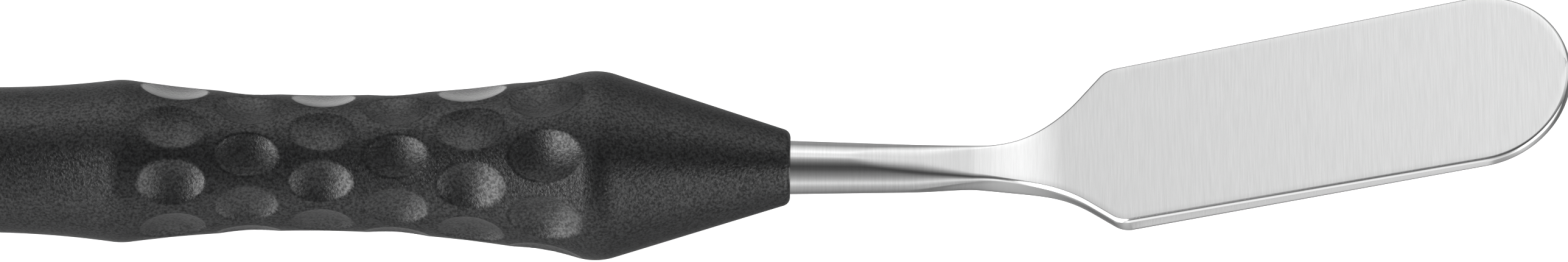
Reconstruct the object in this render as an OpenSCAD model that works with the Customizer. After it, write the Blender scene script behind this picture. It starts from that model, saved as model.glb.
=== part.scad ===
// Small round-ended mixing and palette knife on a round steel shank, with a
// moulded dimpled handle. Millimetres. +X runs along the handle towards the
// blade tip, +Z is the side the blade is set up towards, and the origin is on
// the handle's axis at the front end of the nose.

/* [Blade] */
// Length of the blade from its shoulders to the end of its round tip
blade_length = 26.6; // [20:0.1:34]
// Full width across the shoulders
shoulder_width = 10.26; // [8:0.02:12]
// Full width where the round tip starts
tip_width = 10.76; // [8:0.02:12.5]
// Thickness of the blade just past the bend
root_thickness = 1.12; // [1:0.02:1.6]
// Thickness of the blade at the tip
tip_thickness = 0.6; // [0.5:0.02:1]
// Upward set of the blade from the handle's axis, in degrees
blade_lift = 14.15; // [6:0.05:18]
// Sideways set of the blade towards +Y, in degrees
blade_yaw = 4.65; // [0:0.05:8]

/* [Shank] */
// Distance from the nose to the bend, along the axis
bend_x = 13.4; // [12:0.1:18]
// Diameter of the round shank at the nose
shank_d = 3.06; // [2.8:0.02:3.2]
// Diameter the tapering shank would have at the bend
neck_d = 2.46; // [2.3:0.02:2.7]
// Distance from the nose to the start of the ground flats
flat_start = 3.4; // [2:0.1:5]
// Height of the upper flat above the axis, at the bend
flat_height = 0.97; // [0.85:0.01:1.05]

/* [Handle] */
// Overall length of the handle, nose to nose
handle_length = 120; // [112:1:130]
// Diameter of the two largest rings, next to the noses
ring_d = 11.06; // [10:0.02:12]
// Diameter of the waist between two bumps
waist_d = 7.75; // [7.5:0.05:8.4]
// Diameter of the lower, inner bump
bump_d = 9.38; // [8.8:0.02:10]
// Diameter of the plain middle
middle_d = 8.31; // [8:0.01:8.8]
// Diameter of the flat face of each nose
nose_face_d = 3.42; // [3.38:0.02:4]

/* [Dimples] */
// Rings of dimples on each half of the handle
dimple_rings = 6; // [4:1:6]
// Dimples round each ring
dimple_count = 8; // [6:1:8]
// Distance between one ring of dimples and the next
dimple_pitch = 4.25; // [4:0.01:4.4]
// Radius of the ball that forms a dimple
dimple_ball_r = 4.5; // [4:0.1:5]
// Depth of a dimple at the waist; those on thicker places are deeper
dimple_depth = 0.375; // [0.3:0.005:0.42]

/* [Hidden] */
$fn = 96;

// Shank and tang
shank_r = shank_d / 2;
tang_r = 1.5;
core_start = 4;
tang_end = 34;
groove_depth = 0.15;

// Blade, measured along its own line from the bend
shoulder_s = 5.11;
tip_r = tip_width / 2;
tip_s = shoulder_s + blade_length - tip_r;
side_angle = atan((tip_width - shoulder_width) / 2 / (tip_s - shoulder_s));
neck_half = 1.2;
flare_r = 9.1;
flare_angle = 42.3;
flare_start = -2.72;
shoulder_r = 1.6;
bend_r = 18;
neck_thickness = 1.5;

// Handle, as distances behind the nearer nose
waist_x = 27;
bump_x = 38.25;
middle_x = 46;
half_length = handle_length / 2;
nose_round = 0.5;
core_r = 2.75;
core_rib_r = 3.1;
core_rib_width = 1.6;
rib_places = [9, 40, 60];
pin_x = 19;
pin_r = 0.6;
pin_half = 2.6;
first_ring = 13.96;
plug_length = 14;

// Curve helpers
function arc(cx, cy, r, a0, a1, n) =
    [for (i = [0:n]) let (a = a0 + (a1 - a0) * i / n) [cx + r * cos(a), cy + r * sin(a)]];
function soft_min(a, b, k) =
    let (h = max(k - abs(a - b), 0) / k) min(a, b) - h * h * k / 4;
function mirror_y(points) =
    [for (i = [len(points) - 1:-1:0]) [points[i][0], -points[i][1]]];
function span(a, b, n) = [for (i = [0:n - 1]) a + (b - a) * i / n];

// Radius of the grip at a distance d behind its nearer nose
cone_angle = 17.5;
nose_corner_d = nose_round * (1 - sin(cone_angle));
nose_corner_r = nose_face_d / 2 + nose_round * cos(cone_angle);
ring_x = nose_corner_d + (ring_d / 2 - nose_corner_r) / tan(cone_angle);
function cone_r(d) = nose_corner_r + tan(cone_angle) * (d - nose_corner_d);
function front_flank_r(d) =
    waist_d / 2 + (ring_d - waist_d) / 2 * pow((waist_x - d) / (waist_x - ring_x), 2);
function rear_flank_r(d) =
    waist_d / 2 + (bump_d - waist_d) / 2 * pow((d - waist_x) / (bump_x - waist_x), 2);
function middle_r(d) =
    middle_d / 2 + (bump_d - middle_d) / 2 * pow((middle_x - d) / (middle_x - bump_x), 2);
function grip_r(d) =
    d < waist_x ? soft_min(cone_r(d), front_flank_r(d), 0.48)
    : d < middle_x ? soft_min(rear_flank_r(d), middle_r(d), 0.16)
    : middle_d / 2;

// Places along the handle where its outline is sampled, closer on the bumps
grip_places = concat(
    span(ring_x - 1, ring_x + 1.2, 7),
    span(ring_x + 1.2, 16, 5),
    span(16, 24, 6),
    [24, 25.6, 28.4, 30],
    span(31.4, 36.6, 4),
    span(36.6, 40.2, 8),
    span(40.2, 44.2, 4),
    [44.2, middle_x]
);
nose_arc = arc(nose_round, nose_face_d / 2, nose_round, 180, 90 + cone_angle, 5);
half_outline = concat(
    [for (p = nose_arc) [-p[0], p[1]]],
    [for (d = grip_places) [-d, grip_r(d)]]
);
rear_outline = [for (i = [len(half_outline) - 1:-1:0])
    [-handle_length - half_outline[i][0], half_outline[i][1]]];

// Solid of revolution about X from a list of [x, radius] points
module lathe(points) {
    rotate([0, 90, 0])
        rotate_extrude()
            polygon([for (p = points) [p[1], p[0]]]);
}

// Closed plan of the blade from the neck to the round tip
flare_arc = arc(flare_start, neck_half + flare_r, flare_r, -90, -90 + flare_angle, 12);
flare_end = flare_arc[len(flare_arc) - 1];
corner_rise = shoulder_width / 2 - flare_end[1];
corner_s = flare_end[0] + corner_rise / tan(flare_angle);
corner_turn = flare_angle - side_angle;
corner_tangent = shoulder_r * tan(corner_turn / 2);
corner_arc = arc(
    corner_s - corner_tangent * cos(flare_angle) + shoulder_r * sin(flare_angle),
    shoulder_width / 2 - corner_tangent * sin(flare_angle) - shoulder_r * cos(flare_angle),
    shoulder_r, 90 + flare_angle, 90 + side_angle, 6
);
tip_arc = arc(tip_s, 0, tip_r, 90 + side_angle, 0, 28);
plan_half = concat(flare_arc, corner_arc, tip_arc);
plan = concat(plan_half, mirror_y([for (i = [0:len(plan_half) - 2]) plan_half[i]]));

// Side profile: upper line of the shank, bend and blade, and the thickness below it
bend_tangent = bend_r * tan(blade_lift / 2);
bend_steps = 8;
neck_x = bend_x - bend_tangent - 0.7;
flat_r = shank_r + (neck_d / 2 - shank_r) * flat_start / bend_x;
reach = 40;
upper_line = concat(
    [[-1, shank_r + 0.2], [flat_start - 0.4, shank_r + 0.1], [flat_start, flat_r], [neck_x, flat_height]],
    [for (i = [0:bend_steps]) let (a = blade_lift * i / bend_steps)
        [bend_x - bend_tangent + bend_r * sin(a), flat_height + bend_r * (1 - cos(a))]],
    [[bend_x + reach * cos(blade_lift), flat_height + reach * sin(blade_lift)]]
);
taper = atan((root_thickness - tip_thickness) / (tip_s + tip_r - bend_tangent));
lower_angle = blade_lift + taper;
lower_start = [
    bend_x + bend_tangent * cos(blade_lift) + root_thickness * sin(blade_lift),
    flat_height + bend_tangent * sin(blade_lift) - root_thickness * cos(blade_lift)
];
lower_line = [
    [lower_start[0] + reach * cos(lower_angle), lower_start[1] + reach * sin(lower_angle)],
    lower_start,
    [bend_x, flat_height - (root_thickness + neck_thickness) / 2 + 0.06],
    [bend_x - bend_tangent + 0.3, flat_height - neck_thickness + 0.02],
    [neck_x, flat_height - neck_thickness],
    [flat_start, -flat_r],
    [flat_start - 0.4, -shank_r - 0.1],
    [-1, -shank_r - 0.2]
];

module side_profile() {
    rotate([90, 0, 0])
        translate([0, 0, -20])
            linear_extrude(40)
                polygon(concat(upper_line, lower_line));
}

module plan_block() {
    translate([bend_x, 0, flat_height])
        rotate([0, -blade_lift, 0])
            translate([0, 0, -8])
                linear_extrude(16)
                    rotate([0, 0, blade_yaw])
                        polygon(plan);
}

module shank_cone() {
    lathe([[0, 0], [0, shank_r], [bend_x, neck_d / 2], [bend_x, 0]]);
}

// Plain tang behind the nose with ring grooves, and the hole for its pin
module tang() {
    grooves = [for (i = [0:4]) 22 + 2 * i];
    difference() {
        lathe(concat(
            [[0, 0], [-tang_end, 0], [-tang_end, tang_r - 0.4], [-tang_end + 0.6, tang_r]],
            [for (i = [4:-1:0], k = [0:3])
                [-grooves[i] + [-0.4, -0.25, 0.25, 0.4][k],
                 tang_r - [0, groove_depth, groove_depth, 0][k]]],
            [[-core_start, tang_r], [-core_start, shank_r], [0, shank_r]]
        ));
        translate([-pin_x, 0, 0])
            cylinder(r = pin_r, h = 10, center = true);
    }
}

module blade() {
    color([0.78, 0.79, 0.8])
        union() {
            intersection() {
                side_profile();
                union() {
                    plan_block();
                    shank_cone();
                }
            }
            tang();
        }
}

module tang_pin() {
    color([0.6, 0.6, 0.62])
        translate([-pin_x, 0, 0])
            cylinder(r = pin_r, h = 2 * pin_half, center = true);
}

// Outer shape of the stiff core, with the ribs that lock the grip to it
module core_body() {
    lathe([
        [-core_start, 0],
        [-core_start, core_r],
        [-handle_length + core_start, core_r],
        [-handle_length + core_start, 0]
    ]);
    for (d = rib_places, side = [0, 1])
        if (side == 0 || d < half_length)
            translate([side == 0 ? -d : -handle_length + d, 0, 0])
                rotate([0, 90, 0])
                    cylinder(r = core_rib_r, h = core_rib_width, center = true);
}

module handle_core() {
    color([0.7, 0.71, 0.72])
        difference() {
            core_body();
            translate([-handle_length, 0, 0])
                rotate([0, 90, 0])
                    cylinder(r = tang_r, h = handle_length);
            translate([-pin_x, 0, 0])
                cylinder(r = pin_r, h = 2 * pin_half, center = true);
        }
}

// Balls that press the dimples into one half of the grip, square to its outline
module dimple_balls() {
    for (k = [0:dimple_rings - 1])
        let (d = first_ring + k * dimple_pitch)
        let (slope = (grip_r(d + 0.05) - grip_r(d - 0.05)) / 0.1)
        let (depth = dimple_depth + 0.12 * (grip_r(d) - waist_d / 2))
        let (rise = (dimple_ball_r - depth) / sqrt(1 + slope * slope))
        let (turn = (k % 2 == 0 ? 0.5 : 0) * 360 / dimple_count)
            for (i = [0:dimple_count - 1])
                rotate([turn + i * 360 / dimple_count, 0, 0])
                    translate([slope * rise - d, 0, grip_r(d) + rise])
                        sphere(r = dimple_ball_r);
}

module grip() {
    color([0.12, 0.12, 0.13])
        difference() {
            lathe(concat([[0, 0]], half_outline, rear_outline, [[-handle_length, 0]]));
            core_body();
            translate([-handle_length - 1, 0, 0])
                rotate([0, 90, 0])
                    cylinder(r = shank_r, h = handle_length + 2);
            dimple_balls();
            translate([-handle_length, 0, 0])
                mirror([1, 0, 0])
                    dimple_balls();
        }
}

module end_plug() {
    head_r = nose_face_d / 2;
    color([0.75, 0.76, 0.77])
        translate([-handle_length, 0, 0])
            lathe(concat(
                [[plug_length, 0], [plug_length, tang_r - 0.3], [plug_length - 0.4, tang_r]],
                [[core_start, tang_r], [core_start, shank_r], [0, shank_r], [0, head_r]],
                [for (p = arc(0, 0, head_r, 90, 180, 10)) [-0.15 + p[0] * 0.6, p[1]]]
            ));
}

blade();
tang_pin();
handle_core();
grip();
end_plug();
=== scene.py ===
import math

import bpy
import numpy as np
from mathutils import Matrix, Vector


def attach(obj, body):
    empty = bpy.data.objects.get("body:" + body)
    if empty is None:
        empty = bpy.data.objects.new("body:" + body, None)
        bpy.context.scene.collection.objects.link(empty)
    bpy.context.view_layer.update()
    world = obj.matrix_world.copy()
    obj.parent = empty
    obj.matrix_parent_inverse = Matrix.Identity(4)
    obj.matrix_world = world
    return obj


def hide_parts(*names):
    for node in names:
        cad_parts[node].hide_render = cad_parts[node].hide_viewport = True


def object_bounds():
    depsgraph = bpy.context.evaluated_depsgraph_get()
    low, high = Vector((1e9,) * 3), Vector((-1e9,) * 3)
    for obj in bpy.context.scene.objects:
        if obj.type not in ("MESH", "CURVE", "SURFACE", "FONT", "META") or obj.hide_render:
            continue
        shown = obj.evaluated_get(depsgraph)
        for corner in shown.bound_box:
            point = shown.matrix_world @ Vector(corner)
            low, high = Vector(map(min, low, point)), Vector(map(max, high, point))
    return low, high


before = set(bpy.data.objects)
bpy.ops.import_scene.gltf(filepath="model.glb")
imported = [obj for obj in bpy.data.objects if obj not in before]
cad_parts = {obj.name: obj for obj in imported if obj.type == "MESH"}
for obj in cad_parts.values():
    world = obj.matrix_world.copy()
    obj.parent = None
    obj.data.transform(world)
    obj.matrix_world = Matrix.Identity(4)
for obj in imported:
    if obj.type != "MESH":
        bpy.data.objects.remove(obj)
cad_low, cad_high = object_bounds()

MM = 0.001

# ---------------------------------------------------------------- sizes, mm
# Sizes follow the CAD: +X towards the blade's tip, origin at the nose. The ring's radius and
# the blade's half-widths are 0.003 to 0.005 mm smaller, which keeps them inside the CAD's box.

SHANK_R = 1.53
NECK_R = 1.23
BEND_X = 13.4
BEND_R = 18.0
LIFT = math.radians(14.15)
YAW = math.radians(4.65)
FLAT_START = 3.4
FLAT_HEIGHT = 0.97
NECK_THICKNESS = 1.5
ROOT_THICKNESS = 1.12
TIP_THICKNESS = 0.6
BEND_TANGENT = BEND_R * math.tan(LIFT / 2)
NECK_X = BEND_X - BEND_TANGENT - 0.7

FLARE_START = -2.72
FLARE_R = 9.1
FLARE_ANGLE = math.radians(42.3)
NECK_HALF = 1.2
SHOULDER_S = 5.11
SHOULDER_HALF = 5.127
SHOULDER_R = 1.6
TIP_R = 5.377
BLADE_LENGTH = 26.6
TIP_S = SHOULDER_S + BLADE_LENGTH - TIP_R

HANDLE_LENGTH = 120.0
NOSE_ROUND = 0.5
NOSE_FACE_R = 1.71
CONE_ANGLE = math.radians(17.5)
RING_R = 5.525
WAIST_R = 3.875
BUMP_R = 4.69
MIDDLE_R = 4.155
WAIST_X = 27.0
BUMP_X = 38.25
MIDDLE_X = 46.0
CORE_R = 2.75
CORE_RIB_R = 3.1
CORE_START = 4.0

DIMPLE_RINGS = 6
DIMPLE_COUNT = 8
DIMPLE_PITCH = 4.25
DIMPLE_BALL_R = 4.5
DIMPLE_DEPTH = 0.375
FIRST_RING = 13.96
DIMPLE_BLEND = 0.015

YAW_REACH = 1.5
GRIP_AROUND = 320
GRIP_BORE_R = SHANK_R + 0.03
CORE_GAP = 0.004
RIB_PLACES = (9.0, 40.0, 60.0, 80.0, 111.0)
RIB_HALF = 0.8


# ------------------------------------------------------------ small helpers
def soft_min(a, b, k):
    """The smaller of a and b, rounded off where they cross."""
    h = np.maximum(k - np.abs(a - b), 0) / k
    return np.minimum(a, b) - h * h * k / 4


def smooth_step(x, lo, hi):
    t = np.clip((x - lo) / (hi - lo), 0, 1)
    return t * t * (3 - 2 * t)


def make_mesh(name, verts, faces, sharp=math.radians(35)):
    """A smooth-shaded object whose edges stay crisp above the angle sharp."""
    mesh = bpy.data.meshes.new(name)
    mesh.from_pydata([tuple(v) for v in verts], [], faces)
    mesh.validate()
    mesh.shade_smooth()
    mesh.set_sharp_from_angle(angle=sharp)
    obj = bpy.data.objects.new(name, mesh)
    bpy.context.collection.objects.link(obj)
    return obj


def ring_faces(rings, count, closed_loop):
    """Quads between rings of count points; a closed loop joins the last to the first."""
    faces = []
    last = rings if closed_loop else rings - 1
    for i in range(last):
        a, b = i * count, (i + 1) % rings * count
        for j in range(count):
            k = (j + 1) % count
            faces.append((a + j, a + k, b + k, b + j))
    return faces


# ---------------------------------------------------------------- materials
def new_material(name):
    mat = bpy.data.materials.new(name)
    mat.use_nodes = True
    nodes, links = mat.node_tree.nodes, mat.node_tree.links
    shader = nodes["Principled BSDF"]
    return mat, nodes, links, shader


def mapped_noise(nodes, links, scale, stretch=(1, 1, 1), detail=2.0, rough=0.5):
    """Noise fixed to the object, its coordinates scaled by stretch first."""
    coords = nodes.new("ShaderNodeTexCoord")
    mapping = nodes.new("ShaderNodeMapping")
    mapping.inputs["Scale"].default_value = stretch
    noise = nodes.new("ShaderNodeTexNoise")
    noise.inputs["Scale"].default_value = scale
    noise.inputs["Detail"].default_value = detail
    noise.inputs["Roughness"].default_value = rough
    links.new(coords.outputs["Object"], mapping.inputs["Vector"])
    links.new(mapping.outputs["Vector"], noise.inputs["Vector"])
    return noise.outputs["Fac"]


def remap(nodes, links, value, lo, hi, from_lo=0.0, from_hi=1.0):
    """The value stretched from its own range to lo..hi, and held at the ends."""
    node = nodes.new("ShaderNodeMapRange")
    node.inputs["From Min"].default_value = from_lo
    node.inputs["From Max"].default_value = from_hi
    node.inputs["To Min"].default_value = lo
    node.inputs["To Max"].default_value = hi
    links.new(value, node.inputs["Value"])
    return node.outputs["Result"]


def calculate(nodes, links, operation, *values):
    """A math node whose inputs are sockets or plain numbers."""
    node = nodes.new("ShaderNodeMath")
    node.operation = operation
    for value, socket in zip(values, node.inputs):
        if isinstance(value, (int, float)):
            socket.default_value = value
        else:
            links.new(value, socket)
    return node.outputs["Value"]


def ramp(nodes, links, value, stops):
    """A colour ramp through (position, colour) stops."""
    node = nodes.new("ShaderNodeValToRGB")
    elements = node.color_ramp.elements
    while len(elements) < len(stops):
        elements.new(0.5)
    for element, (place, colour) in zip(elements, stops):
        element.position = place
        element.color = (*colour, 1)
    links.new(value, node.inputs["Fac"])
    return node.outputs["Color"]


def bump(nodes, links, height, distance, strength, normal=None):
    node = nodes.new("ShaderNodeBump")
    node.inputs["Distance"].default_value = distance
    node.inputs["Strength"].default_value = strength
    links.new(height, node.inputs["Height"])
    if normal is not None:
        links.new(normal, node.inputs["Normal"])
    return node.outputs["Normal"]


def grip_material():
    """Charcoal moulded plastic with a fine grain, glossier in the dimples; a painted sheen makes
    the upper dimples paler, and painted shade darkens the dimples' rims.
    """
    mat, nodes, links, shader = new_material("moulded_charcoal")
    grain = mapped_noise(nodes, links, 9000, detail=2, rough=0.6)
    pits = mapped_noise(nodes, links, 6500, detail=1, rough=0.5)
    mottle = mapped_noise(nodes, links, 260, detail=4)
    stops = [(0.34, (0.0065, 0.0065, 0.0068)), (0.66, (0.0145, 0.015, 0.0155))]
    links.new(ramp(nodes, links, pits, stops), shader.inputs["Base Color"])
    links.new(remap(nodes, links, mottle, 0.26, 0.33), shader.inputs["Roughness"])
    # Specular level: a little higher in the dimples, and dipped at their rims as painted shade.
    gloss_and_rim_shade = nodes.new("ShaderNodeAttribute")
    gloss_and_rim_shade.attribute_name = "gloss_and_rim_shade"
    sparkle = remap(nodes, links, pits, 0.28, 0.76, 0.32, 0.68)
    specular = calculate(nodes, links, "MULTIPLY", sparkle, gloss_and_rim_shade.outputs["Fac"])
    links.new(specular, shader.inputs["Specular IOR Level"])
    # Sheen weight from the dimple mask, strongest on the upper side: a painted sheen that makes
    # those dimples paler.
    painted_sheen = nodes.new("ShaderNodeAttribute")
    painted_sheen.attribute_name = "painted_sheen"
    links.new(remap(nodes, links, painted_sheen.outputs["Fac"], 0, 1.25), shader.inputs["Sheen Weight"])
    shader.inputs["Sheen Roughness"].default_value = 0.5
    coarse = bump(nodes, links, pits, 0.00003, 0.35)
    links.new(bump(nodes, links, grain, 0.00003, 0.6, coarse), shader.inputs["Normal"])
    return mat


def part_of(nodes, links, along, facing, from_lo, from_hi):
    """Mask of the blade's surfaces whose normal has at least a certain size on one axis."""
    size = calculate(nodes, links, "ABSOLUTE", facing)
    turned = remap(nodes, links, size, 0, 1, from_lo, from_hi)
    return calculate(nodes, links, "MULTIPLY", along, turned)


def steel_material(name, brushed):
    """Stainless steel, polished; brushed adds a satin face and a brighter near wall, its
    near-white colour a painted reflection.
    """
    mat, nodes, links, shader = new_material(name)
    shader.inputs["Metallic"].default_value = 1.0
    streak = mapped_noise(nodes, links, 9500, stretch=(1, 0.05, 0.05), detail=3, rough=0.6)
    cloud = mapped_noise(nodes, links, 120, detail=3)
    stops = [(0.3, (0.776, 0.778, 0.778)), (0.7, (0.839, 0.841, 0.842))]
    tint = ramp(nodes, links, streak, stops)
    polished = remap(nodes, links, cloud, 0.11, 0.16)
    height = bump(nodes, links, streak, 0.00001, 0.14 if brushed else 0.08)
    if brushed:
        coords = nodes.new("ShaderNodeTexCoord")
        parts = nodes.new("ShaderNodeSeparateXYZ")
        links.new(coords.outputs["Object"], parts.inputs[0])
        along = remap(nodes, links, parts.outputs["X"], 0, 1, 0.009, 0.0145)
        satin = remap(nodes, links, cloud, 0.22, 0.28)
        shape = nodes.new("ShaderNodeNewGeometry")
        normal = nodes.new("ShaderNodeSeparateXYZ")
        links.new(shape.outputs["Normal"], normal.inputs[0])
        face = part_of(nodes, links, along, normal.outputs["Z"], 0.88, 0.94)
        # Mask of the side walls, where the base colour below paints a brighter reflection.
        wall = part_of(nodes, links, along, normal.outputs["Y"], 0.8, 0.9)
        mix = nodes.new("ShaderNodeMix")
        links.new(face, mix.inputs["Factor"])
        links.new(polished, mix.inputs["A"])
        links.new(satin, mix.inputs["B"])
        links.new(mix.outputs["Result"], shader.inputs["Roughness"])
        # Painted reflection: the walls' base colour mixed to near white.
        painted_wall_reflection = nodes.new("ShaderNodeMixRGB")
        links.new(wall, painted_wall_reflection.inputs["Fac"])
        links.new(tint, painted_wall_reflection.inputs["Color1"])
        painted_wall_reflection.inputs["Color2"].default_value = (0.98, 0.98, 0.98, 1)
        links.new(painted_wall_reflection.outputs["Color"], shader.inputs["Base Color"])
    else:
        links.new(polished, shader.inputs["Roughness"])
        links.new(tint, shader.inputs["Base Color"])
    links.new(height, shader.inputs["Normal"])
    return mat


def turned_material():
    """Turned aluminium for the hidden core."""
    mat, nodes, links, shader = new_material("turned_aluminium")
    shader.inputs["Metallic"].default_value = 1.0
    turning = mapped_noise(nodes, links, 5000, stretch=(1, 0.03, 0.03), detail=3)
    stops = [(0.3, (0.62, 0.63, 0.64)), (0.7, (0.78, 0.79, 0.8))]
    links.new(ramp(nodes, links, turning, stops), shader.inputs["Base Color"])
    links.new(remap(nodes, links, turning, 0.28, 0.42), shader.inputs["Roughness"])
    return mat


# --------------------------------------------------------------------- grip
NOSE_CORNER_D = NOSE_ROUND * (1 - math.sin(CONE_ANGLE))
NOSE_CORNER_R = NOSE_FACE_R + NOSE_ROUND * math.cos(CONE_ANGLE)
RING_X = NOSE_CORNER_D + (RING_R - NOSE_CORNER_R) / math.tan(CONE_ANGLE)


def grip_radius(d):
    """Radius of the grip without dimples at a distance d behind its nearer nose."""
    d = np.asarray(d, float)
    cone = NOSE_CORNER_R + math.tan(CONE_ANGLE) * (d - NOSE_CORNER_D)
    flank = WAIST_R + (RING_R - WAIST_R) * ((WAIST_X - d) / (WAIST_X - RING_X)) ** 2
    rise = np.maximum(d - WAIST_X, 0) / (BUMP_X - WAIST_X)
    rear = WAIST_R + (BUMP_R - WAIST_R) * rise**2
    middle = MIDDLE_R + (BUMP_R - MIDDLE_R) * ((MIDDLE_X - d) / (MIDDLE_X - BUMP_X)) ** 2
    front_part = soft_min(cone, flank, 0.48)
    rear_part = soft_min(rear, middle, 0.16)
    return np.where(d < WAIST_X, front_part, np.where(d < MIDDLE_X, rear_part, MIDDLE_R))


def dimpled_radius(d, angle):
    """Radius with the dimples pressed in, at distances d (rows) and angles (columns).

    Also returns how far each point is pressed in, from 0 to 1.
    """
    plain = np.repeat(grip_radius(d)[:, None], len(angle), axis=1)
    radius = plain
    step = 2 * math.pi / DIMPLE_COUNT
    for k in range(DIMPLE_RINGS):
        place = FIRST_RING + k * DIMPLE_PITCH
        level = float(grip_radius(place))
        slope = float(grip_radius(place + 0.05) - grip_radius(place - 0.05)) / 0.1
        depth = DIMPLE_DEPTH + 0.12 * (level - WAIST_R)
        rise = (DIMPLE_BALL_R - depth) / math.hypot(1, slope)
        out = level + rise
        along = (d - place + slope * rise)[:, None]
        turn = step / 2 if k % 2 == 0 else 0
        off = (angle - turn + step / 2) % step - step / 2
        inside = DIMPLE_BALL_R**2 - along**2 - (out * np.sin(off)[None, :]) ** 2
        hollow = np.where(
            inside > 0, out * np.cos(off)[None, :] - np.sqrt(np.maximum(inside, 0)), 99.0
        )
        radius = soft_min(radius, hollow, DIMPLE_BLEND)
    return radius, np.clip((plain - radius) / 0.04, 0, 1)


def grip_stations():
    """Distances behind the nose for half the grip, close together where the dimples are."""
    parts = [
        np.linspace(NOSE_CORNER_D + 0.02, 9.4, 14, endpoint=False),
        np.linspace(9.4, 11.3, 20, endpoint=False),
        np.linspace(11.3, 37.8, 264, endpoint=False),
        np.linspace(37.8, 39.6, 18, endpoint=False),
        np.linspace(39.6, MIDDLE_X, 22, endpoint=False),
        np.linspace(MIDDLE_X, HANDLE_LENGTH / 2, 12),
    ]
    return np.concatenate(parts)


def nose_stations():
    """(distance, radius) of the bore's rounded lip and the nose's rounded edge."""
    lip = [(0.18, GRIP_BORE_R), (0.06, GRIP_BORE_R + 0.015), (0.0, GRIP_BORE_R + 0.07)]
    edge = [
        (NOSE_ROUND * (1 - math.cos(a)), NOSE_FACE_R + NOSE_ROUND * math.sin(a))
        for a in np.linspace(0, math.pi / 2 - CONE_ANGLE, 8)
    ]
    return lip + edge


def bore_stations():
    """(distance, radius) along the inside, which follows the core and its ribs."""
    ribs = []
    for middle in RIB_PLACES:
        ribs += [(middle - RIB_HALF, CORE_R), (middle - RIB_HALF, CORE_RIB_R)]
        ribs += [(middle + RIB_HALF, CORE_RIB_R), (middle + RIB_HALF, CORE_R)]
    core_end = HANDLE_LENGTH - CORE_START
    front = [(CORE_START, GRIP_BORE_R), (CORE_START, CORE_R)]
    return front + ribs + [(core_end, CORE_R), (core_end, GRIP_BORE_R)]


def build_grip():
    """The moulding: its front half, the same again mirrored, and back along the bore."""
    angle = np.arange(GRIP_AROUND) * 2 * math.pi / GRIP_AROUND
    none_pressed = np.zeros(GRIP_AROUND)
    rings = [(-x, np.full(GRIP_AROUND, r), none_pressed) for x, r in nose_stations()]
    d = grip_stations()
    rings += [(-x, r, m) for x, r, m in zip(d, *dimpled_radius(d, angle))]
    rings += [(-HANDLE_LENGTH - x, r, m) for x, r, m in reversed(rings[:-1])]
    rings += [
        (-x, np.full(GRIP_AROUND, r + CORE_GAP), none_pressed)
        for x, r in reversed(bore_stations())
    ]
    x = np.array([ring[0] for ring in rings])[:, None]
    r = np.array([ring[1] for ring in rings])
    pressed = np.array([ring[2] for ring in rings])
    points = [np.repeat(x, GRIP_AROUND, 1), r * np.sin(angle), r * np.cos(angle)]
    verts = np.stack(points, axis=-1).reshape(-1, 3) * MM
    obj = make_mesh("grip_moulding", verts, ring_faces(len(rings), GRIP_AROUND, True))
    # The upper side faces the main light. Its dimples get the painted sheen, and the others get
    # little of it.
    upper_side = smooth_step(np.sin(angle), 0.5, 0.82)
    fields = {
        # Specular strength: 1.2 in the dimples, dipping to about half at their rims as painted
        # shade.
        "gloss_and_rim_shade": 1 + 0.2 * pressed - 2.4 * pressed * (1 - pressed),
        "painted_sheen": pressed * (0.06 + 0.94 * upper_side),
    }
    for name, values in fields.items():
        field = obj.data.attributes.new(name, "FLOAT", "POINT")
        field.data.foreach_set("value", values.astype(np.float32).ravel())
    return obj


# -------------------------------------------------------------------- blade
def shank_radius(x):
    return SHANK_R + (NECK_R - SHANK_R) * x / BEND_X


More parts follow.
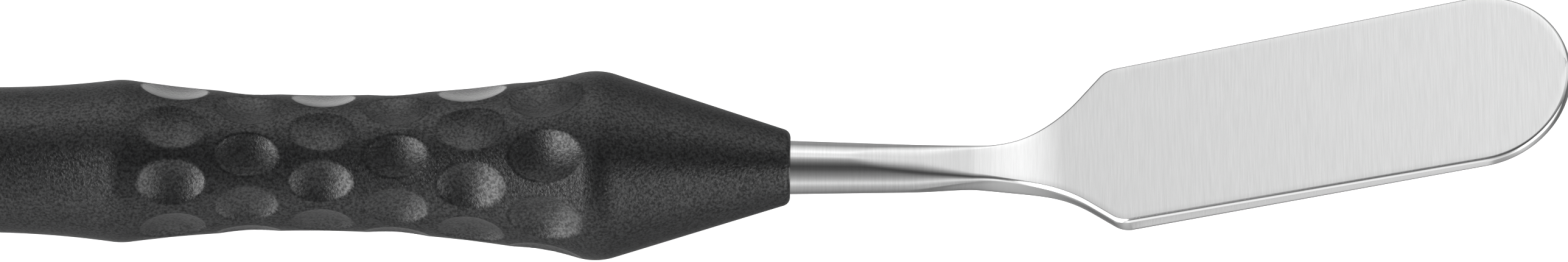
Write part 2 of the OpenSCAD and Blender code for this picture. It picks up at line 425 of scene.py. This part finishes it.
def blade_outline():
    """Half outline from nose to tip: rows of s, half-width and the outward normal (s, t)."""
    rows = []
    shank_part = np.linspace(-0.6, FLAT_START, 9, endpoint=False)
    neck_part = np.linspace(FLAT_START, BEND_X + FLARE_START, 26, endpoint=False)
    for x in np.concatenate([shank_part, neck_part]):
        rows.append((x - BEND_X, NECK_HALF, 0.0, 1.0))

    # The flare's hollow curve, the straight after it, and the shoulder's round corner.
    for a in np.linspace(0, FLARE_ANGLE, 34, endpoint=False):
        half = NECK_HALF + FLARE_R * (1 - math.cos(a))
        rows.append((FLARE_START + FLARE_R * math.sin(a), half, -math.sin(a), math.cos(a)))
    end_s = FLARE_START + FLARE_R * math.sin(FLARE_ANGLE)
    end_half = NECK_HALF + FLARE_R * (1 - math.cos(FLARE_ANGLE))
    corner_s = end_s + (SHOULDER_HALF - end_half) / math.tan(FLARE_ANGLE)
    side = math.atan((TIP_R - SHOULDER_HALF) / (TIP_S - corner_s))
    tangent = SHOULDER_R * math.tan((FLARE_ANGLE - side) / 2)
    start_s = corner_s - tangent * math.cos(FLARE_ANGLE)
    start_half = SHOULDER_HALF - tangent * math.sin(FLARE_ANGLE)
    for t in np.linspace(0, 1, 5, endpoint=False):
        s = end_s + (start_s - end_s) * t
        half = end_half + (start_half - end_half) * t
        rows.append((s, half, -math.sin(FLARE_ANGLE), math.cos(FLARE_ANGLE)))
    centre_s = start_s + SHOULDER_R * math.sin(FLARE_ANGLE)
    centre_half = start_half - SHOULDER_R * math.cos(FLARE_ANGLE)
    for a in np.linspace(FLARE_ANGLE, side, 12, endpoint=False):
        half = centre_half + SHOULDER_R * math.cos(a)
        rows.append((centre_s - SHOULDER_R * math.sin(a), half, -math.sin(a), math.cos(a)))

    # The long side, which widens a little, and the tip's half circle.
    first_s = centre_s - SHOULDER_R * math.sin(side)
    first_half = centre_half + SHOULDER_R * math.cos(side)
    last_s = TIP_S - TIP_R * math.sin(side)
    last_half = TIP_R * math.cos(side)
    for t in np.linspace(0, 1, 26, endpoint=False):
        s = first_s + (last_s - first_s) * t
        half = first_half + (last_half - first_half) * t
        rows.append((s, half, -math.sin(side), math.cos(side)))
    for a in np.linspace(-side, math.pi / 2, 60):
        s = TIP_S + TIP_R * math.sin(a)
        rows.append((s, TIP_R * math.cos(a), math.sin(a), math.cos(a)))
    return rows


def heading_at(s):
    """Heading of the plan's centre line, which turns by YAW across the bend."""
    return YAW * smooth_step(s, -YAW_REACH, YAW_REACH)


def centre_line(s):
    """Place (x from the bend, y) and heading of the plan's centre line."""
    if s <= -YAW_REACH:
        return s, 0.0, 0.0
    if s >= YAW_REACH:
        return s * math.cos(YAW), s * math.sin(YAW), YAW
    steps = np.linspace(-YAW_REACH, s, 24)
    turn = heading_at((steps[1:] + steps[:-1]) / 2)
    width = np.diff(steps)
    x = -YAW_REACH + float(np.sum(np.cos(turn) * width))
    y = float(np.sum(np.sin(turn) * width))
    return x, y, float(heading_at(s))


def top_line(a):
    """Point and slope of the upper surface at a distance a from the bend, in the XZ plane."""
    x = BEND_X + a
    if a > BEND_TANGENT:
        return x - a + a * math.cos(LIFT), FLAT_HEIGHT + a * math.sin(LIFT), LIFT
    if a > -BEND_TANGENT:
        turn = LIFT * (a + BEND_TANGENT) / (2 * BEND_TANGENT)
        bent_x = BEND_X - BEND_TANGENT + BEND_R * math.sin(turn)
        return bent_x, FLAT_HEIGHT + BEND_R * (1 - math.cos(turn)), turn
    if x > FLAT_START:
        start = shank_radius(FLAT_START)
        t = min(1.0, (x - FLAT_START) / (NECK_X - FLAT_START))
        return x, start + (FLAT_HEIGHT - start) * t, 0.0
    return x, shank_radius(x), 0.0


def thickness(a):
    """Height of the blade, neck or shank at a distance a from the bend."""
    x = BEND_X + a
    if a > BEND_TANGENT:
        t = (a - BEND_TANGENT) / (TIP_S + TIP_R - BEND_TANGENT)
        return ROOT_THICKNESS + (TIP_THICKNESS - ROOT_THICKNESS) * t
    if a > -BEND_TANGENT:
        t = smooth_step(a, -BEND_TANGENT, BEND_TANGENT)
        return NECK_THICKNESS + (ROOT_THICKNESS - NECK_THICKNESS) * float(t)
    if x > FLAT_START:
        start = 2 * shank_radius(FLAT_START)
        t = min(1.0, (x - FLAT_START) / (NECK_X - FLAT_START))
        return start + (NECK_THICKNESS - start) * t
    return 2 * shank_radius(x)


def headings(first, last, steps):
    """Middle heading of each step of a curve that turns from first to last, in degrees."""
    turn = np.radians(np.linspace(first, last, steps + 1))
    return (turn[1:] + turn[:-1]) / 2


def height_lost(first, last, length, steps):
    """How far down one piece of the edge goes."""
    return float(np.sum(np.sin(headings(first, last, steps))) * length / steps)


def blade_wall(s, thick):
    """Ground edge of the blade, as (inset, depth) pairs from the upper flat to the lower.

    Its pieces are (first heading, last heading, length, steps), with headings in degrees
    below level: a rounded arris, a narrow bevel, a nearly upright wall and a round foot.
    """
    grown = float(smooth_step(s, -4.0, 2.0))
    arris = [(0, 17, 0.03, 2), (17, 42, 0.11, 5), (42, 60, 0.02, 3)]
    bevel = [(60, 69, 0.08 + 0.06 * grown, 4), (69, 82, 0.02, 2)]
    foot = (99, 180, 0.1, 6)
    rest = max(thick - sum(height_lost(*p) for p in (*arris, *bevel, foot)), 0.05)
    upright = [(82, 88, 0.74 * rest, 3), (88, 99, 0.26 * rest, 3)]
    x = z = 0.0
    wall = [(x, z)]
    for first, last, length, steps in (*arris, *bevel, *upright, foot):
        for a in headings(first, last, steps):
            x += math.cos(a) * length / steps
            z -= math.sin(a) * length / steps
            wall.append((x, z))
    out = max(p[0] for p in wall)
    return [(p[0] - out, p[1]) for p in wall]


def shank_wall(s, half, thick, top_z, count):
    """Side of the round shank with its two ground flats, as count (inset, depth) pairs."""
    radius = shank_radius(max(s + BEND_X, -1))
    soft = min(0.3, 1.5 * max(radius - top_z, 0)) + 1e-6
    wall = []
    for i in range(count):
        a = 0.1 + (math.pi - 0.2) * i / (count - 1)
        z = float(soft_min(radius * math.cos(a), top_z, soft))
        z = -float(soft_min(-z, thick - top_z, soft))
        wall.append((radius * math.sin(a) - half, z - top_z))
    return wall


def wall_profile(s, half, thick, top_z):
    """Side wall from the upper to the lower flat, shank turning to blade: (inset, depth)."""
    blade = blade_wall(s, thick)
    shank = shank_wall(s, half, thick, top_z, len(blade))
    blend = float(smooth_step(s, -7.0, -0.8))
    wall = [
        (p[0] + (q[0] - p[0]) * blend, p[1] + (q[1] - p[1]) * blend)
        for p, q in zip(shank, blade)
    ]
    top_rim = 0.4 * min(0.8, half + wall[0][0])
    low_rim = 0.4 * min(0.8, half + wall[-1][0])
    return [(wall[0][0] - top_rim, wall[0][1]), *wall, (wall[-1][0] - low_rim, wall[-1][1])]


def place(s, t, depth):
    """Row-frame point of plan point (s, t) at a depth below the upper surface."""
    cx, cy, heading = centre_line(s)
    a = cx - t * math.sin(heading)
    y = cy + t * math.cos(heading)
    x, z, slope = top_line(a)
    return x - depth * math.sin(slope), y, z + depth * math.cos(slope)


def build_blade():
    """One ring of points across the blade for each row of its outline.

    The two sides meet at the tip. Known fault: the faces' order makes them face inwards.
    """
    rows = blade_outline()
    verts = []
    for s, half, ns, nt in rows:
        cx, _, _ = centre_line(s)
        _, top_z, _ = top_line(cx)
        profile = wall_profile(s, half, thickness(cx), top_z)
        for side, run in ((1, profile), (-1, profile[::-1])):
            for inset, depth in run:
                verts.append(place(s + ns * inset, side * (half + nt * inset), depth))
    count = len(verts) // len(rows)
    faces = ring_faces(len(rows), count, False)
    faces.append(tuple(range(count - 1, -1, -1)))
    return make_mesh("blade_steel", np.array(verts) * MM, faces, math.radians(40))


# ---------------------------------------------------------------- assembly
grip = build_grip()
grip.data.materials.append(grip_material())
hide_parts("grip")
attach(grip, "root")

blade = build_blade()
blade.data.materials.append(steel_material("brushed_stainless", True))
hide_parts("blade")
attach(blade, "root")

for node, material in (
    ("end_plug", steel_material("polished_plug_steel", False)),
    ("tang_pin", steel_material("ground_pin_steel", False)),
    ("handle_core", turned_material()),
):
    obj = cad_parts[node]
    obj.data.materials.clear()
    obj.data.materials.append(material)

# ------------------------------------------------------------------- stage
TABLE_HALF = 3.0

corners = [(-1, -1), (1, -1), (1, 1), (-1, 1)]
floor_mesh = bpy.data.meshes.new("floor")
floor_points = [(x * TABLE_HALF, y * TABLE_HALF, 0) for x, y in corners]
floor_mesh.from_pydata(floor_points, [], [(0, 1, 2, 3)])
floor = bpy.data.objects.new("floor", floor_mesh)
bpy.context.collection.objects.link(floor)
floor.location.z = cad_low.z
table_material, nodes, links, shader = new_material("lit_white_table")
cloud = mapped_noise(nodes, links, 3.0, detail=2)
table_tone = ramp(nodes, links, cloud, [(0.3, (0.9, 0.9, 0.9)), (0.7, (0.93, 0.93, 0.93))])
links.new(table_tone, shader.inputs["Base Color"])
shader.inputs["Roughness"].default_value = 0.9
shader.inputs["Specular IOR Level"].default_value = 0.1
shader.inputs["Emission Color"].default_value = (1, 1, 1, 1)
shader.inputs["Emission Strength"].default_value = 0.85
floor_mesh.materials.append(table_material)
floor.visible_glossy = False

# The room, as brightness by direction: round the X axis in degrees from straight up towards
# +Y, and then along X. Four soft lights add up: main, left, right, and a low one in front.
LIGHTS = [
    (
        [(-180, 0.2), (-168, 0.2), (-154, 0.28), (-121, 0.44), (-100, 0.78), (-81, 0.45),
         (-64, 0.26), (-48, 0.16), (-38, 0.09), (-22, 0.06), (-8, 0.14), (9, 0.36), (18, 0.58),
         (26, 0.86), (45, 1.18), (67, 0.72), (90, 0.28), (110, 0.3), (150, 0.26), (180, 0.2)],
        [(-1.0, 0.5), (-0.46, 0.62), (-0.39, 0.70), (-0.33, 1.13), (-0.2, 1.42), (-0.06, 1.3),
         (0.05, 1.03), (0.14, 0.9), (0.55, 1.0), (1.0, 0.5)],
    ),
    (
        [(-180, 0), (-155, 0.2), (-125, 0.4), (-100, 0.5), (-65, 1), (-30, 1), (-10, 0.2), (6, 0),
         (180, 0)],
        [(-1.0, 2.5), (-0.8, 4.6), (-0.5, 4.6), (-0.43, 2.4), (-0.38, 0.5), (-0.34, 0), (1.0, 0)],
    ),
    (
        [(-180, 0), (-120, 0.2), (-85, 0.6), (-58, 1), (-46, 0.8), (-30, 0.15), (-15, 0),
         (180, 0)],
        [(-1.0, 0), (0.35, 0), (0.47, 0.7), (0.57, 1.9), (0.7, 2.4), (0.9, 2.4), (1.0, 1)],
    ),
    (
        [(-180, 0), (-158, 0), (-147, 1), (-115, 1), (-98, 0), (180, 0)],
        [(-1.0, 0), (0.06, 0), (0.09, 0.32), (0.15, 0.32), (0.22, 0), (1.0, 0)],
    ),
]
world = bpy.data.worlds.new("studio")
world.use_nodes = True
nodes, links = world.node_tree.nodes, world.node_tree.links
coords = nodes.new("ShaderNodeTexCoord")
direction = nodes.new("ShaderNodeSeparateXYZ")
links.new(coords.outputs["Generated"], direction.inputs[0])
around_x = calculate(nodes, links, "ARCTAN2", direction.outputs["Y"], direction.outputs["Z"])
around_x = remap(nodes, links, around_x, 0, 1, -math.pi, math.pi)
along_x = remap(nodes, links, direction.outputs["X"], 0, 1, -1, 1)


def glow_ramp(value, stops, low, high):
    """A ramp scaled to a peak of 1, for stops placed from low to high, and its real peak."""
    peak = max(glow for _, glow in stops)
    scaled = [((at - low) / (high - low), (glow / peak,) * 3) for at, glow in stops]
    return ramp(nodes, links, value, scaled), peak


total = 0
for around_stops, along_stops in LIGHTS:
    first, first_peak = glow_ramp(around_x, around_stops, -180, 180)
    second, second_peak = glow_ramp(along_x, along_stops, -1, 1)
    glow = calculate(nodes, links, "MULTIPLY", first, second)
    total = calculate(nodes, links, "MULTIPLY_ADD", glow, first_peak * second_peak, total)
background = nodes["Background"]
links.new(total, background.inputs["Strength"])
background.inputs["Color"].default_value = (1, 1, 1, 1)
bpy.context.scene.world = world
bpy.context.scene.view_settings.view_transform = "Standard"

# ------------------------------------------------------------------ camera
# Tilted from straight down towards the near side, and rolled a little about its own axis.
CAMERA_TILT = math.radians(29)
CAMERA_ROLL = math.radians(0.56)
CAMERA_DISTANCE = 0.5984
AIM_ALONG = -0.383
AIM_UP = 2.087

along = Vector((1, 0, 0))
back = Vector((0, -math.sin(CAMERA_TILT), math.cos(CAMERA_TILT)))
level_up = Vector((0, math.cos(CAMERA_TILT), math.sin(CAMERA_TILT)))
right = along * math.cos(CAMERA_ROLL) + level_up * math.sin(CAMERA_ROLL)
up = level_up * math.cos(CAMERA_ROLL) - along * math.sin(CAMERA_ROLL)
aim = (along * AIM_ALONG + level_up * AIM_UP) * MM
camera_data = bpy.data.cameras.new("camera")
camera_data.lens = 240
camera_data.sensor_width = 36
camera_data.clip_end = 10
camera = bpy.data.objects.new("camera", camera_data)
facing = Matrix((right, up, back)).transposed().to_4x4()
camera.matrix_world = Matrix.Translation(aim + back * CAMERA_DISTANCE) @ facing
bpy.context.collection.objects.link(camera)
bpy.context.scene.camera = camera
